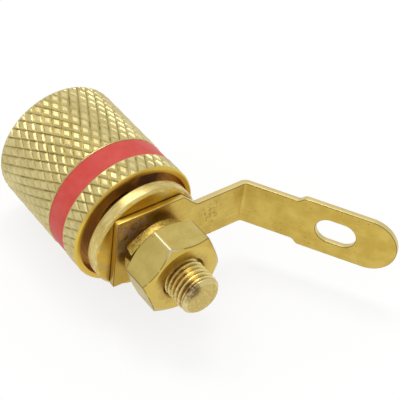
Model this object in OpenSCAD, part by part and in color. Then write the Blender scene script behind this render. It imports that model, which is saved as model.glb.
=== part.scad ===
// Screw-down terminal post with a plug socket: a knurled knob on a turned post,
// with a solder tag, a split spring washer and a nut on the rear stud.
// The post's axis lies along Y: the knob's front faces -Y and the stud points to +Y.
// The origin is the centre of the flange's rear face, and the tag's arm runs along -X.

/* [Knob] */
// Diameter over the knurl
knob_d = 13; // [11:0.1:16]
// Length of the knob
knob_l = 13.85; // [11:0.05:18]
// Open gap between the knob's rear rim and the flange
knob_gap = 0.5; // [0.3:0.05:2]
// Radial width of the rear rim around the recess
rim_w = 0.6; // [0.5:0.05:0.9]
// Depth of the recess in the rear end, which closes over the flange
recess_depth = 1.2; // [0.6:0.05:1.3]
// Plain chamfer on the outer edge of the rear rim, where the knurl ends
rim_chamfer = 0.4; // [0.1:0.05:0.4]
// Rounding of the front edge
edge_r = 0.8; // [0.4:0.05:1.2]
// Chamfer at the mouth of the front opening
mouth_chamfer = 0.4; // [0.1:0.05:0.8]

/* [Knurl] */
// Diamonds around the knob
knurl_count = 40; // [24:1:44]
// Length of one diamond along the axis
knurl_pitch = 1.85; // [1.4:0.05:2.6]
// Depth of the grooves between the diamonds
knurl_depth = 0.2; // [0.1:0.02:0.38]
// Share of each diamond that is flat on top
pad_share = 0.65; // [0.3:0.05:0.8]

/* [Colour ring] */
// Width of the ring's groove
groove_w = 2.4; // [1.5:0.1:4]
// Depth of the ring's groove below the knurl
groove_depth = 1.05; // [0.7:0.05:1.5]
// Distance from the rear rim to the groove
groove_back = 2.2; // [1.6:0.05:4]
// How far the ring stays below the knurl
ring_sink = 0.08; // [0:0.02:0.3]
// Rounding chamfer on the ring's outer edges
ring_chamfer = 0.12; // [0.05:0.01:0.3]

/* [Post] */
// Thickness of the flange
flange_t = 1.45; // [1:0.05:2.5]
// Radial gap between the flange and the knob's recess
flange_gap = 0.3; // [0.2:0.05:1]
// Chamfer on the flange's edges
flange_chamfer = 0.25; // [0.1:0.05:0.45]
// Diameter of the barrel inside the knob
barrel_d = 6; // [5.2:0.1:7.4]
// Diameter of the plug socket
socket_d = 4; // [3:0.1:4.4]
// Diameter of the cross-drilled wire hole
wire_hole_d = 2; // [1:0.1:2.2]
// Diameter of the rear stud
stud_d = 4; // [3:0.1:4.6]
// Length of the stud past the nut
stud_past = 2.8; // [1:0.05:8]
// Chamfer on the stud's end
stud_chamfer = 0.3; // [0.1:0.05:0.6]

/* [Solder tag] */
// Thickness of the tag's sheet
tag_t = 0.65; // [0.3:0.05:1]
// Width of the square head
head_w = 8; // [7:0.1:10]
// Distance from the stud's centre to the head's free edge
head_back = 3.85; // [3.4:0.05:6]
// Distance from the stud's centre to the start of the shoulders
head_front = 3.35; // [3:0.05:5]
// Width of the arm and of the leg's first stretch
arm_w = 4.8; // [3:0.1:6]
// Distance from the stud's centre to the bend
arm_l = 10.65; // [8:0.05:16]
// Angle of the bend
bend_angle = 58; // [20:1:90]
// Inner radius of the bend
bend_r = 0.4; // [0.2:0.05:1]
// Length of the leg's narrow stretch
neck_l = 5.3; // [2:0.1:8]
// Width of the leg's wide end
eye_w = 5.8; // [5:0.1:8]
// Length of the leg from the bend to its round end
leg_l = 15.3; // [13:0.1:24]
// Length of the slot
slot_l = 4; // [3:0.1:6]
// Width of the slot
slot_w = 2.7; // [1.5:0.1:3]
// Distance from the round end to the slot
slot_end = 4; // [1.5:0.1:4.5]

/* [Spring washer] */
// Thickness of the washer's wire
washer_t = 1; // [0.5:0.05:1.2]
// Radial width of the washer's wire
washer_w = 1.2; // [0.8:0.05:1.8]
// How far the washer's low end stands off along the axis
washer_rise = 0.35; // [0:0.05:1.5]
// Turn over which the low end bends away from the nut
washer_bend = 45; // [20:5:330]
// Open play between the tag and the washer's low end, as the nut isn't tightened
washer_play = 0.4; // [0:0.05:1]
// Angle of the gap between the ends
washer_gap = 12; // [4:1:30]
// Turn of the washer's low end from the tag's arm
washer_turn = 157; // [0:1:359]

/* [Nut] */
// Width across the flats
nut_af = 7.45; // [6.4:0.05:9]
// Height of the nut
nut_h = 3.5; // [2:0.1:5]
// Turn of the nut's corners from the tag's arm
nut_turn = 52; // [0:1:59]
// Countersink at both ends of the nut's thread
nut_sink = 0.25; // [0.1:0.05:0.5]

/* [Hidden] */
gold = [0.85, 0.71, 0.36];
red = [0.85, 0.31, 0.29];
$fn = 96;
// Play that cuts reach past the faces they cut
over = 1;
// Radial play of the knob's thread on the barrel
thread_clear = 0.06;
// Play left between the knob's recess and the flange when the knob is closed
stop_clear = 0.1;
// Play of the ring on the groove's floor and at the groove's sides
ring_clear = 0.05;
// Radial play of the tag's hole, the washer and the nut on the stud, and how far the washer
// hangs down in its play
tag_clear = 0.15;
washer_clear = 0.2;
washer_drop = 0.15;
nut_clear = 0.03;
// Play between the washer and the nut
washer_seat = 0.02;
// Cone left by the drill at the bottom of the socket, as its half angle
drill_half_angle = 59;
// Wall between the wire hole and the flange, and between it and the socket
hole_wall = 0.2;
socket_wall = 0.4;
// How far the barrel's tip stays inside the closed knob, and its chamfer
tip_recess = 0.15;
tip_chamfer = 0.3;
// Share of the nut's width across flats that stays flat on its faces
nut_face = 0.94;
nut_chamfer_angle = 33;
// Steps of the front rounding past the knurl, and of the washer
round_steps = 4;
washer_steps = 60;

knob_r = knob_d / 2;
valley_r = knob_r - knurl_depth;
round_z = knob_l - edge_r;
knurl_end = round_z + sqrt(pow(edge_r, 2) - pow(edge_r - knurl_depth, 2));
floor_r = knob_r - groove_depth;
groove_front = groove_back + groove_w;
recess_r = knob_r - rim_w;
bore_r = barrel_d / 2 + thread_clear;
flange_r = recess_r - flange_gap;
barrel_r = barrel_d / 2;
stud_r = stud_d / 2;
rim_z = -flange_t - knob_gap;
tip_z = -flange_t - stop_clear + recess_depth - knob_l + tip_recess;
wire_hole_z = -flange_t - hole_wall - wire_hole_d / 2;
drill_point = socket_d / 2 / tan(drill_half_angle);
socket_z = wire_hole_z - wire_hole_d / 2 - socket_wall - drill_point;
washer_in = stud_r + washer_clear;
washer_out = washer_in + washer_w;
washer_z = tag_t + washer_play;
nut_z = washer_z + washer_t + washer_rise + washer_seat;
stud_l = nut_z + nut_h + stud_past;
nut_corner = nut_af / sqrt(3);

// The number of half rows of diamonds nearest to the pitch, on a stretch of the knob
function half_rows(length) = max(2, round(2 * length / knurl_pitch));

rear_rows = half_rows(groove_back - rim_chamfer);
front_rows = half_rows(knurl_end - groove_front);

// Radius of the knob's outline over the diamonds at a height above the rear rim
function crest(z) =
    knob_r - (z > round_z ? edge_r - sqrt(max(0, pow(edge_r, 2) - pow(z - round_z, 2))) : 0);

// A point from its radius, its turn counted in diamonds, and its height
function around(r, turn, z) =
    let (a = 360 * turn / knurl_count)
    [r * cos(a), r * sin(a), z];

// A diamond's row counts as shifted by half a diamond if it is odd
function shift(row) = (row % 2) / 2;

// Turn of the points that every ring has for each diamond: a corner and two pad ends
function ring_turn(i, row) =
    shift(row) + floor(i / 3)
    + [0, (1 - pad_share) / 2, (1 + pad_share) / 2][i % 3];

// A plain ring of points
function ring(r, z, row) = [for (i = [0:3 * knurl_count - 1]) around(r, ring_turn(i, row), z)];

// Points of a knurled stretch: the groove crossings row by row, then each diamond's pad,
// then the half pads that its two ends cut through
function knurl_points(z0, z1, rows, first) =
    let (row_h = (z1 - z0) / rows, pad = pad_share / 2, last = knurl_count - 1)
    concat(
        [for (j = [0:rows], i = [0:last]) around(valley_r, i + shift(first + j), z0 + j * row_h)],
        [for (j = [1:rows - 1], i = [0:last], tip = [[-pad, 0], [pad, 0], [0, pad], [0, -pad]])
            let (z = z0 + j * row_h + 2 * tip[1] * row_h)
            around(crest(z), i + shift(first + j) + 0.5 + tip[0], z)],
        [for (i = [0:last], tip = [[-pad, 0], [pad, 0], [0, pad]])
            let (z = z0 + 2 * tip[1] * row_h)
            around(crest(z), i + shift(first) + 0.5 + tip[0], z)],
        [for (i = [0:last], tip = [[-pad, 0], [pad, 0], [0, -pad]])
            let (z = z1 + 2 * tip[1] * row_h)
            around(crest(z), i + shift(first + rows) + 0.5 + tip[0], z)]
    );

// Places of a stretch's points in its list
function corner_at(j, i) = j * knurl_count + i % knurl_count;
function pad_at(rows, j, i, k) = (rows + 1) * knurl_count + 4 * ((j - 1) * knurl_count + i) + k;
function low_pad_at(rows, i, k) = (5 * rows - 3) * knurl_count + 3 * i + k;
function high_pad_at(rows, i, k) = low_pad_at(rows, knurl_count + i, k);
function knurl_size(rows) = (5 * rows + 3) * knurl_count;

// The ring of places where a stretch begins, and the one where it ends
function low_ring(rows, base) =
    [for (i = [0:knurl_count - 1])
        each [corner_at(0, i), low_pad_at(rows, i, 0), low_pad_at(rows, i, 1)] + base * [1, 1, 1]];
function high_ring(rows, base) =
    [for (i = [0:knurl_count - 1])
        each [corner_at(rows, i), high_pad_at(rows, i, 0), high_pad_at(rows, i, 1)] + base * [1, 1, 1]];
function plain_ring(base) = [for (i = [0:3 * knurl_count - 1]) base + i];

// Two triangles of a four-cornered face
function quad(a, b, c, d) = [[a, b, c], [a, c, d]];

// Faces of a knurled stretch: flat pads and the sloping sides down to the grooves
function knurl_faces(rows, first, base) =
    [for (j = [0:rows], i = [0:knurl_count - 1])
        let (
            side = i + (first + j) % 2,
            west = base + corner_at(j, i),
            east = base + corner_at(j, i + 1),
            north = base + corner_at(min(j + 1, rows), side),
            south = base + corner_at(max(j - 1, 0), side),
            left = base + (j == 0 ? low_pad_at(rows, i, 0)
                : j == rows ? high_pad_at(rows, i, 0) : pad_at(rows, j, i, 0)),
            right = left + 1,
            top = left + 2,
            foot = base + (j == rows ? high_pad_at(rows, i, 2) : pad_at(rows, j, i, 3))
        )
        each concat(
            j == 0 ? [[left, top, right]]
                : j == rows ? [[left, right, foot]] : [[left, top, foot], [top, right, foot]],
            j == rows ? [] : concat(quad(west, north, top, left), quad(north, east, right, top)),
            j == 0 ? [] : concat(quad(east, south, foot, right), quad(south, west, left, foot))
        )];

// Faces between two rings of places, the second one further along the outline
function wall(a, b) =
    [for (i = [0:len(a) - 1])
        let (k = (i + 1) % len(a))
        each quad(a[i], b[i], b[k], a[k])];

// The knob's outside, from the rear rim up, with its groove and its rounded front edge
module knurled_blank() {
    front_first = rear_rows;
    round_first = rear_rows + front_rows;
    start = asin((edge_r - knurl_depth) / edge_r);
    ring_n = 3 * knurl_count;
    rim = plain_ring(2);
    rear = 2 + ring_n;
    grooved = rear + knurl_size(rear_rows);
    front = grooved + 2 * ring_n;
    rounded = front + knurl_size(front_rows);
    front_high = high_ring(front_rows, front);
    last = plain_ring(rounded + (round_steps - 1) * ring_n);
    points = concat(
        [[0, 0, 0], [0, 0, knob_l]],
        ring(knob_r - rim_chamfer, 0, 0),
        knurl_points(rim_chamfer, groove_back, rear_rows, 0),
        ring(floor_r, groove_back, front_first),
        ring(floor_r, groove_front, front_first),
        knurl_points(groove_front, knurl_end, front_rows, front_first),
        [for (i = [1:round_steps])
            let (a = start * (1 - i / round_steps))
            each ring(knob_r - edge_r + edge_r * sin(a), round_z + edge_r * cos(a), round_first)]
    );
    faces = concat(
        [for (i = [0:ring_n - 1]) [0, rim[i], rim[(i + 1) % ring_n]]],
        wall(rim, low_ring(rear_rows, rear)),
        knurl_faces(rear_rows, 0, rear),
        wall(high_ring(rear_rows, rear), plain_ring(grooved)),
        wall(plain_ring(grooved), plain_ring(grooved + ring_n)),
        wall(plain_ring(grooved + ring_n), low_ring(front_rows, front)),
        knurl_faces(front_rows, front_first, front),
        wall(front_high, plain_ring(rounded)),
        [for (i = [1:round_steps - 1])
            each wall(plain_ring(rounded + (i - 1) * ring_n), plain_ring(rounded + i * ring_n))],
        [for (i = [0:ring_n - 1]) [last[i], 1, last[(i + 1) % ring_n]]]
    );
    polyhedron(points, faces);
}

// Places a shape drawn with the post's axis along z, the tag's arm along x and up along y
module on_axis() {
    rotate([90, 0, 180])
        children();
}

module knob() {
    mouth_cut = mouth_chamfer + over;
    color(gold)
        on_axis()
            translate([0, 0, rim_z])
                rotate([180, 0, 0])
                    difference() {
                        knurled_blank();
                        translate([0, 0, -over])
                            cylinder(r = bore_r, h = knob_l + 2 * over);
                        translate([0, 0, -over])
                            cylinder(r = recess_r, h = recess_depth + over);
                        translate([0, 0, knob_l - mouth_chamfer])
                            cylinder(h = mouth_cut, r1 = bore_r, r2 = bore_r + mouth_cut);
                    }
}

module colour_ring() {
    inner = floor_r + ring_clear;
    outer = knob_r - ring_sink;
    low = groove_back + ring_clear;
    high = groove_front - ring_clear;
    color(red)
        on_axis()
            translate([0, 0, rim_z])
                rotate([180, 0, 0])
                    rotate_extrude()
                        polygon([
                            [inner, low],
                            [outer - ring_chamfer, low],
                            [outer, low + ring_chamfer],
                            [outer, high - ring_chamfer],
                            [outer - ring_chamfer, high],
                            [inner, high]
                        ]);
}

module post() {
    color(gold)
        on_axis()
            difference() {
                rotate_extrude()
                    polygon([
                        [0, tip_z],
                        [barrel_r - tip_chamfer, tip_z],
                        [barrel_r, tip_z + tip_chamfer],
                        [barrel_r, -flange_t],
                        [flange_r - flange_chamfer, -flange_t],
                        [flange_r, -flange_t + flange_chamfer],
                        [flange_r, -flange_chamfer],
                        [flange_r - flange_chamfer, 0],
                        [stud_r, 0],
                        [stud_r, stud_l - stud_chamfer],
                        [stud_r - stud_chamfer, stud_l],
                        [0, stud_l]
                    ]);
                translate([0, 0, tip_z - over])
                    cylinder(d = socket_d, h = socket_z - tip_z + over);
                translate([0, 0, socket_z])
                    cylinder(d1 = socket_d, d2 = 0, h = drill_point);
                translate([0, 0, wire_hole_z])
                    rotate([90, 0, 0])
                        cylinder(d = wire_hole_d, h = barrel_d + 2 * over, center = true);
            }
}

// Flat outline of the tag's head and arm, up to the bend
module head_outline(end) {
    shoulder = (head_w - arm_w) / 2;
    difference() {
        polygon([
            [-head_back, -head_w / 2],
            [head_front, -head_w / 2],
            [head_front + shoulder, -arm_w / 2],
            [end, -arm_w / 2],
            [end, arm_w / 2],
            [head_front + shoulder, arm_w / 2],
            [head_front, head_w / 2],
            [-head_back, head_w / 2]
        ]);
        circle(r = stud_r + tag_clear);
    }
}

// Flat outline of the tag's leg, from the bend to its slotted round end
module leg_outline(start) {
    step = (eye_w - arm_w) / 2;
    slot_x = leg_l - slot_end - slot_w / 2;
    difference() {
        union() {
            polygon([
                [start, -arm_w / 2],
                [neck_l, -arm_w / 2],
                [neck_l + step, -eye_w / 2],
                [leg_l - eye_w / 2, -eye_w / 2],
                [leg_l - eye_w / 2, eye_w / 2],
                [neck_l + step, eye_w / 2],
                [neck_l, arm_w / 2],
                [start, arm_w / 2]
            ]);
            translate([leg_l - eye_w / 2, 0])
                circle(d = eye_w);
        }
        for (x = [slot_x, slot_x - slot_l + slot_w])
            translate([x, 0])
                circle(d = slot_w);
        translate([slot_x - slot_l + slot_w, -slot_w / 2])
            square([slot_l - slot_w, slot_w]);
    }
}

module solder_tag() {
    setback = bend_r * tan(bend_angle / 2);
    color(gold)
        on_axis() {
            linear_extrude(tag_t)
                head_outline(arm_l - setback);
            translate([arm_l - setback, 0, tag_t + bend_r]) {
                rotate([90, 90, 0])
                    rotate_extrude(angle = bend_angle)
                        translate([bend_r, -arm_w / 2])
                            square([tag_t, arm_w]);
                rotate([0, -bend_angle, 0])
                    translate([-setback, 0, -bend_r - tag_t])
                        linear_extrude(tag_t)
                            leg_outline(setback);
            }
        }
}

// The washer's wire sweeps once around the stud along the nut, and its low end bends away
module spring_washer() {
    sweep = 360 - washer_gap;
    section = [[washer_in, 0], [washer_out, 0], [washer_out, washer_t], [washer_in, washer_t]];
    points = [for (i = [0:washer_steps], corner = section)
        let (
            back = sweep * (1 - i / washer_steps),
            turn = washer_turn - back,
            z = washer_z + washer_rise * (1 - pow(1 - min(1, back / washer_bend), 2))
        )
        [corner[0] * cos(turn), corner[0] * sin(turn) - washer_drop, z + corner[1]]];
    sides = [for (i = [0:washer_steps - 1], k = [0:3])
        let (next = (k + 1) % 4)
        each quad(4 * i + k, 4 * i + next, 4 * i + 4 + next, 4 * i + 4 + k)];
    far = 4 * washer_steps;
    ends = concat(quad(3, 2, 1, 0), quad(far, far + 1, far + 2, far + 3));
    color(gold)
        on_axis()
            polyhedron(points, concat(sides, ends));
}

module hex_nut() {
    face_r = nut_af / 2 * nut_face;
    drop = (nut_corner - face_r) * tan(nut_chamfer_angle);
    hole_r = stud_r + nut_clear;
    color(gold)
        on_axis()
            translate([0, 0, nut_z])
                rotate([0, 0, nut_turn])
                    intersection() {
                        cylinder(r = nut_corner, h = nut_h, $fn = 6);
                        rotate_extrude()
                            polygon([
                                [hole_r, nut_sink],
                                [hole_r + nut_sink, 0],
                                [face_r, 0],
                                [nut_corner, drop],
                                [nut_corner, nut_h - drop],
                                [face_r, nut_h],
                                [hole_r + nut_sink, nut_h],
                                [hole_r, nut_h - nut_sink]
                            ]);
                    }
}

knob();
colour_ring();
post();
solder_tag();
spring_washer();
hex_nut();
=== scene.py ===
import math
from types import SimpleNamespace
import bmesh
import bpy
from mathutils import Matrix, Vector


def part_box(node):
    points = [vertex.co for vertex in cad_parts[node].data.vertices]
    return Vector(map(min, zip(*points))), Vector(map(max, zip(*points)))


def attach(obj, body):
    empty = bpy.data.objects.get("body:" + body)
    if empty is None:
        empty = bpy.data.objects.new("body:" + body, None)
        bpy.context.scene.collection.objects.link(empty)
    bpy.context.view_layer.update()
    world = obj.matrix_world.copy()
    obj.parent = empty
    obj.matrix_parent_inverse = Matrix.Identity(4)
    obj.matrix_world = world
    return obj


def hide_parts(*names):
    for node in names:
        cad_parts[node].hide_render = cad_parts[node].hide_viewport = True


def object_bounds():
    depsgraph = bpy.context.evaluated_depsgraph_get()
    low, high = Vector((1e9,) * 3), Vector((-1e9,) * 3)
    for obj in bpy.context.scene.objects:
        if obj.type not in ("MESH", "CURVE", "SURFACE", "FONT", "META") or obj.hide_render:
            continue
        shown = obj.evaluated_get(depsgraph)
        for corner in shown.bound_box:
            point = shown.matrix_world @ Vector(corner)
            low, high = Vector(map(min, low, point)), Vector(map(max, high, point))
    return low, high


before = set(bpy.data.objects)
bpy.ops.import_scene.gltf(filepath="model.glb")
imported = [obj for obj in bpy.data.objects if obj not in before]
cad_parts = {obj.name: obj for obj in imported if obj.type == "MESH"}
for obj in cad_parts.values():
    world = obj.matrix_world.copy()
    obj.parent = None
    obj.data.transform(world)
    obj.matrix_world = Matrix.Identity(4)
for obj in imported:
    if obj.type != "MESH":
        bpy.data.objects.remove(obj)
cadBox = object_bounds()
mm = 0.001  # sizes below are in mm, meshes in metres
print("frame loaded:", ", ".join(sorted(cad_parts)))


# node maths written as sums
class Sock:
    def __init__(self, graph, out):
        self.graph = graph
        self.out = out

    def maths(self, operation, first, second):
        return self.graph.node("ShaderNodeMath", {"operation": operation}, {0: first, 1: second})

    def __add__(self, other):
        return self.maths("ADD", self, other)

    def __radd__(self, other):
        return self.maths("ADD", other, self)

    def __sub__(self, other):
        return self.maths("SUBTRACT", self, other)

    def __rsub__(self, other):
        return self.maths("SUBTRACT", other, self)

    def __mul__(self, other):
        return self.maths("MULTIPLY", self, other)

    def __rmul__(self, other):
        return self.maths("MULTIPLY", other, self)

    def __truediv__(self, other):
        return self.maths("DIVIDE", self, other)

    def __rtruediv__(self, other):
        return self.maths("DIVIDE", other, self)

    def __pow__(self, other):
        return self.maths("POWER", self, other)

    def __rpow__(self, other):
        return self.maths("POWER", other, self)

    def __mod__(self, other):
        return self.maths("MODULO", self, other)

    def __rmod__(self, other):
        return self.maths("MODULO", other, self)

    def __lt__(self, other):
        return self.maths("LESS_THAN", self, other)

    def __gt__(self, other):
        return self.maths("GREATER_THAN", self, other)


class Graph:
    def __init__(self, tree):
        self.tree = tree

    # settings first, then the values or links of the sockets
    def node(self, kind, settings=None, sockets=None, out=0):
        made = self.tree.nodes.new(kind)
        for name, value in (settings or {}).items():
            setattr(made, name, value)
        for name, value in (sockets or {}).items():
            self.plug(made.inputs[name], value)
        return Sock(self, made.outputs[out])

    def plug(self, socket, value):
        if isinstance(value, Sock):
            self.tree.links.new(value.out, socket)
        elif socket.type == "RGBA":
            socket.default_value = (*value, 1.0)  # colours are written as red, green, blue
        else:
            socket.default_value = value

    def one(self, operation, a):
        return self.node("ShaderNodeMath", {"operation": operation}, {0: a})

    def least(self, a, b):
        return self.node("ShaderNodeMath", {"operation": "MINIMUM"}, {0: a, 1: b})

    def most(self, a, b):
        return self.node("ShaderNodeMath", {"operation": "MAXIMUM"}, {0: a, 1: b})

    def span(self, value, low, high):  # 0 at low, 1 at high, clamped
        return self.node("ShaderNodeMapRange", {}, {"Value": value, "From Min": low, "From Max": high})

    def distance(self, *offsets):
        squares = [offset ** 2.0 for offset in offsets]
        return sum(squares[1:], squares[0]) ** 0.5

    def vector(self, x=0.0, y=0.0, z=0.0):
        return self.node("ShaderNodeCombineXYZ", {}, {"X": x, "Y": y, "Z": z})

    def axes(self, vector):
        return [self.node("ShaderNodeSeparateXYZ", {}, {0: vector}, axis) for axis in "XYZ"]

    def noise(self, place, scale, detail, roughness):
        sockets = {"Vector": place, "Scale": scale, "Detail": detail, "Roughness": roughness}
        return self.node("ShaderNodeTexNoise", {}, sockets)

    def blend(self, share, a, b):
        return self.node("ShaderNodeMix", {"data_type": "RGBA"}, {0: share, 6: a, 7: b}, 2)

    # a coat is its share where the mask is 1, and its colour
    def coat(self, shade, mask, coat):
        share, colour = coat
        return self.blend(mask * share, shade, colour)


# geometry node trees: named inputs, one geometry out, ending in real faces and a material
def startTree(name, inputs):
    tree = bpy.data.node_groups.new(name, "GeometryNodeTree")
    tree.interface.new_socket("Geometry", in_out="OUTPUT", socket_type="NodeSocketGeometry")
    for title, kind in inputs.items():
        tree.interface.new_socket(title, in_out="INPUT", socket_type="NodeSocket" + kind)
    graph = Graph(tree)
    entry = tree.nodes.new("NodeGroupInput")
    return graph, {title: Sock(graph, entry.outputs[title]) for title in inputs}


def endTree(graph, shape, material):
    real = graph.node("GeometryNodeRealizeInstances", {}, {"Geometry": shape})
    done = graph.node("GeometryNodeSetMaterial", {}, {"Geometry": real, "Material": material})
    outlet = graph.tree.nodes.new("NodeGroupOutput")
    graph.plug(outlet.inputs["Geometry"], done)


def plainMesh(holder):  # the evaluated shape as a mesh of its own
    steps = bpy.context.evaluated_depsgraph_get()
    return bpy.data.meshes.new_from_object(holder.evaluated_get(steps), depsgraph=steps)


def linkNew(name, data):
    made = bpy.data.objects.new(name, data)
    bpy.context.scene.collection.objects.link(made)
    return made


def runTree(graph, values):
    holder = linkNew("treeHolder", bpy.data.meshes.new("treeHolder"))
    modifier = holder.modifiers.new("build", "NODES")
    modifier.node_group = graph.tree
    for item in graph.tree.interface.items_tree:
        if item.in_out == "INPUT":
            modifier[item.identifier] = values[item.name]
    mesh = plainMesh(holder)
    holder.modifiers.remove(modifier)
    bpy.data.objects.remove(holder)
    return mesh


# meshes
def joinRings(bm, a, b):
    count = max(len(a), len(b))
    for i in range(count):
        k = (i + 1) % count
        corners = [a[i % len(a)], a[k % len(a)], b[k % len(b)], b[i % len(b)]]
        bm.faces.new(list(dict.fromkeys(corners)))


def soften(outline, size, closed=False, steps=3, reach=0.4):
    done = []
    for i, corner in enumerate(outline):
        if not closed and i in (0, len(outline) - 1):
            done.append(corner)
            continue
        here = Vector(corner)
        back = Vector(outline[i - 1]) - here
        on = Vector(outline[(i + 1) % len(outline)]) - here
        cut = min(size, reach * back.length, reach * on.length)
        a = here + back.normalized() * cut
        b = here + on.normalized() * cut
        for k in range(steps + 1):
            t = k / steps
            done.append(tuple(a * (1 - t) ** 2 + here * 2 * t * (1 - t) + b * t * t))
    return done


def ringAt(bm, radius, y, angles):
    if radius < 1e-6:  # a pole on the axis
        return [bm.verts.new((0, y * mm, 0))]
    return [bm.verts.new((radius * mm * math.cos(t), y * mm, radius * mm * math.sin(t))) for t in angles]


def turned(outline, segments, closed=False):  # radius and y, spun about the post's axis
    bm = bmesh.new()
    angles = [2 * math.pi * i / segments for i in range(segments)]
    rings = [ringAt(bm, radius, y, angles) for radius, y in outline]
    for a, b in zip(rings, rings[1:]):
        joinRings(bm, a, b)
    if closed:
        joinRings(bm, rings[-1], rings[0])
    return bm


def arcPoints(cx, cy, radius, fromDeg, toDeg, steps):
    points = []
    for i in range(steps + 1):
        angle = math.radians(fromDeg + (toDeg - fromDeg) * i / steps)
        points.append((cx + radius * math.cos(angle), cy + radius * math.sin(angle)))
    return points


def finishMesh(bm, name, sharp=32, merge=1e-7):  # edges past the sharp angle aren't smoothed over
    bmesh.ops.remove_doubles(bm, verts=bm.verts, dist=merge)
    bmesh.ops.dissolve_degenerate(bm, dist=merge, edges=bm.edges)
    bmesh.ops.recalc_face_normals(bm, faces=bm.faces)
    for face in bm.faces:
        face.smooth = True
    for edge in bm.edges:
        edge.smooth = edge.calc_face_angle(0.0) < math.radians(sharp)
    mesh = bpy.data.meshes.new(name)
    bm.to_mesh(mesh)
    bm.free()
    return mesh


def meshToEdit(mesh):
    bm = bmesh.new()
    bm.from_mesh(mesh)
    return bm


def addPiece(name, mesh, material, body, node=None):
    piece = linkNew(name, mesh)
    mesh.materials.clear()
    mesh.materials.append(material)
    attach(piece, body)
    if node:
        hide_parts(node)
    print("made", name, len(mesh.polygons), "faces")


# materials
def startMaterial(name):
    material = bpy.data.materials.new(name)
    material.use_nodes = True
    material.node_tree.nodes.clear()
    return material, Graph(material.node_tree)


def endMaterial(g, shader):
    outlet = g.tree.nodes.new("ShaderNodeOutputMaterial")
    g.plug(outlet.inputs["Surface"], shader)


def placeOn(g):  # where a point of the part is, in mm
    metres = g.node("ShaderNodeTexCoord", out="Object")
    place = g.node("ShaderNodeVectorMath", {"operation": "SCALE"}, {0: metres, "Scale": 1 / mm})
    x, y, z = g.axes(place)
    return SimpleNamespace(place=place, x=x, y=y, z=z, radius=(x * x + z * z) ** 0.5)


# gold plate of every metal piece: noises as scale, detail and roughness, and how far each one counts
plate = {
    "markNoise": (1.0, 3.0, 0.6), "drawnScale": 0.25, "patchNoise": (3.0, 0.55), "toneSpan": (0.38, 0.64),
    "grainNoise": (9.0, 2.0, 0.6), "clusterNoise": (0.4, 1.0, 0.4), "clusterSpan": (0.42, 0.72),
    "clusterPull": 0.12, "speckNoise": (4.2, 1.0, 0.4), "speckSpan": 0.06, "speckBrown": (0.10, 0.055, 0.02),
    "grainHeight": 0.4, "patchHeight": 0.5, "bumpDistance": 0.00002,
    "grainRough": 0.12, "markRough": 0.1, "wornRough": 0.1, "dullRough": 0.3, "dullMetal": 0.6}


# the tint lays a piece's own coats on the plate, painted shade and highlights among them, and says where it
# is dull and where it is worn
def goldPlate(name, look, tint):
    material, g = startMaterial(name)
    at = placeOn(g)
    scale = look["markScale"]
    if look["marks"] == "turned":
        markPlace = g.vector(at.radius * scale, at.y * scale)
    else:
        markPlace = g.vector(at.x * plate["drawnScale"], at.y * plate["drawnScale"], at.z * scale)
    marks = g.noise(markPlace, *plate["markNoise"])
    patches = g.noise(at.place, look["patchScale"], *plate["patchNoise"])
    grain = g.noise(at.place, *plate["grainNoise"])
    tone = g.span(patches + (marks - 0.5) * look["markTone"], *plate["toneSpan"])
    shade = g.blend(tone, look["deep"], look["bright"])
    cluster = g.span(g.noise(at.place, *plate["clusterNoise"]), *plate["clusterSpan"])
    speckle = g.noise(at.place, *plate["speckNoise"]) + cluster * plate["clusterPull"]
    specks = g.span(speckle, look["speckFrom"], look["speckFrom"] + plate["speckSpan"])
    shade = g.blend(specks * look["speckShare"], shade, plate["speckBrown"])
    shade, dull, wornAndLit = tint(g, at, shade)
    height = marks * look["markDepth"] + grain * plate["grainHeight"] + patches * plate["patchHeight"]
    bump = g.node("ShaderNodeBump", {}, {
        "Strength": look["bump"], "Distance": plate["bumpDistance"], "Height": height})
    rough = look["rough"] + (grain - 0.5) * plate["grainRough"] + (marks - 0.5) * plate["markRough"]
    rough = rough + (specks + wornAndLit) * plate["wornRough"] + dull * plate["dullRough"]
    metal = g.node("ShaderNodeBsdfPrincipled", {}, {
        "Base Color": shade, "Metallic": 1.0 - dull * plate["dullMetal"], "Roughness": rough, "Normal": bump})
    endMaterial(g, metal)
    return material


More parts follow.
